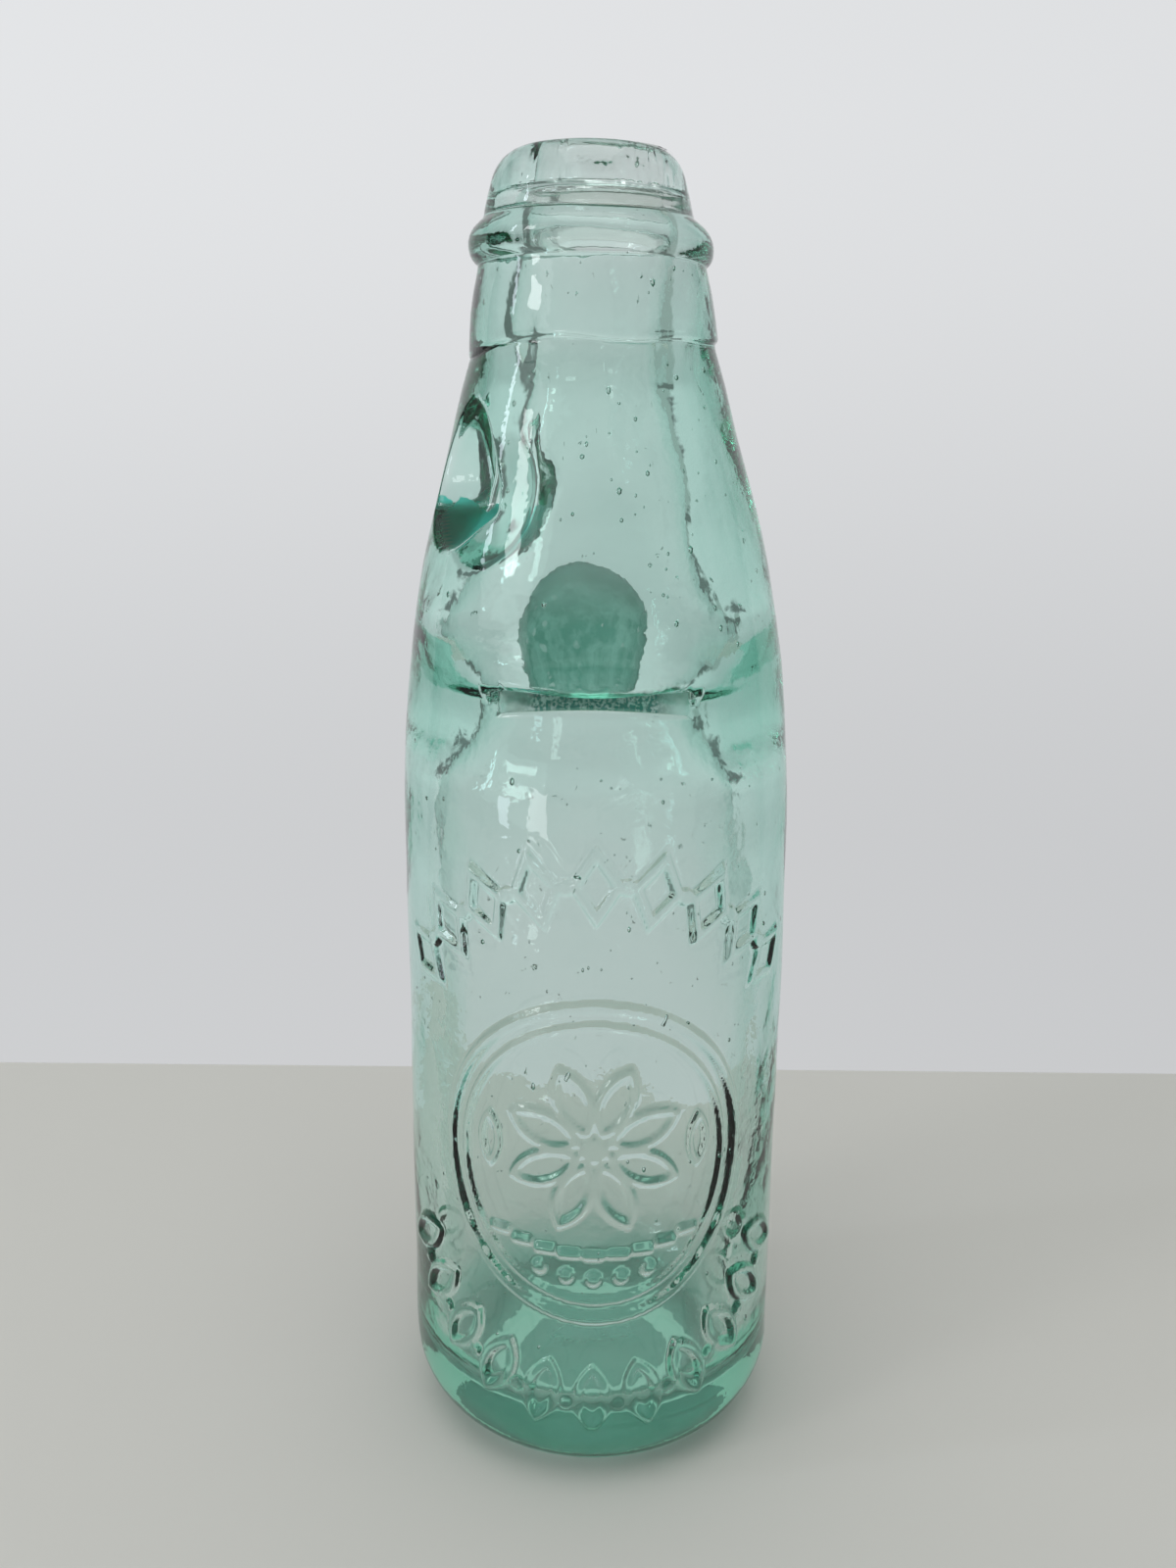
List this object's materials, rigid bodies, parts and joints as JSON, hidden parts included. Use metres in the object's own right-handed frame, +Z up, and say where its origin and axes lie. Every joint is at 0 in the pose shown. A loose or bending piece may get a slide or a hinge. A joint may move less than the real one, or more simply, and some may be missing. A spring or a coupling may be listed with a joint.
{
  "type": "marble stopper bottle",
  "caption": "Thick aqua glass bottle with a pinched throat, two catch dimples, an applied lip with a sealing ring in its groove, and a loose glass marble that rises to close the neck.",
  "frame": {"origin": "centre of the resting face under the base, on the axis of the body", "axes": "+Z up along the bottle's axis to the mouth, -Y the front with the relief panel, -X the side of the two catch dimples"},
  "size_m": [0.065, 0.065, 0.214],
  "materials": {
    "body_glass": "aqua-green moulded glass with seeds, chill wrinkles and worn low relief",
    "lip_glass": "aqua-green hand-worked glass, smooth outside, wrinkled bore",
    "ring_rubber": "pale translucent rubber, matt",
    "marble_glass": "sea-green glass with a frosted, pitted skin and tiny bubbles"
  },
  "bodies": {
    "bottle": {"bottle_body": "body_glass", "lip_finish": "lip_glass", "sealing_ring": "ring_rubber"},
    "marble": {"marble": "marble_glass"}
  },
  "joints": [
    {"name": "marble_slide", "type": "slide", "parent": "bottle", "child": "marble", "axis": [0.0455, 0, 0.999], "range_m": [0, 0.0571]}
  ]
}
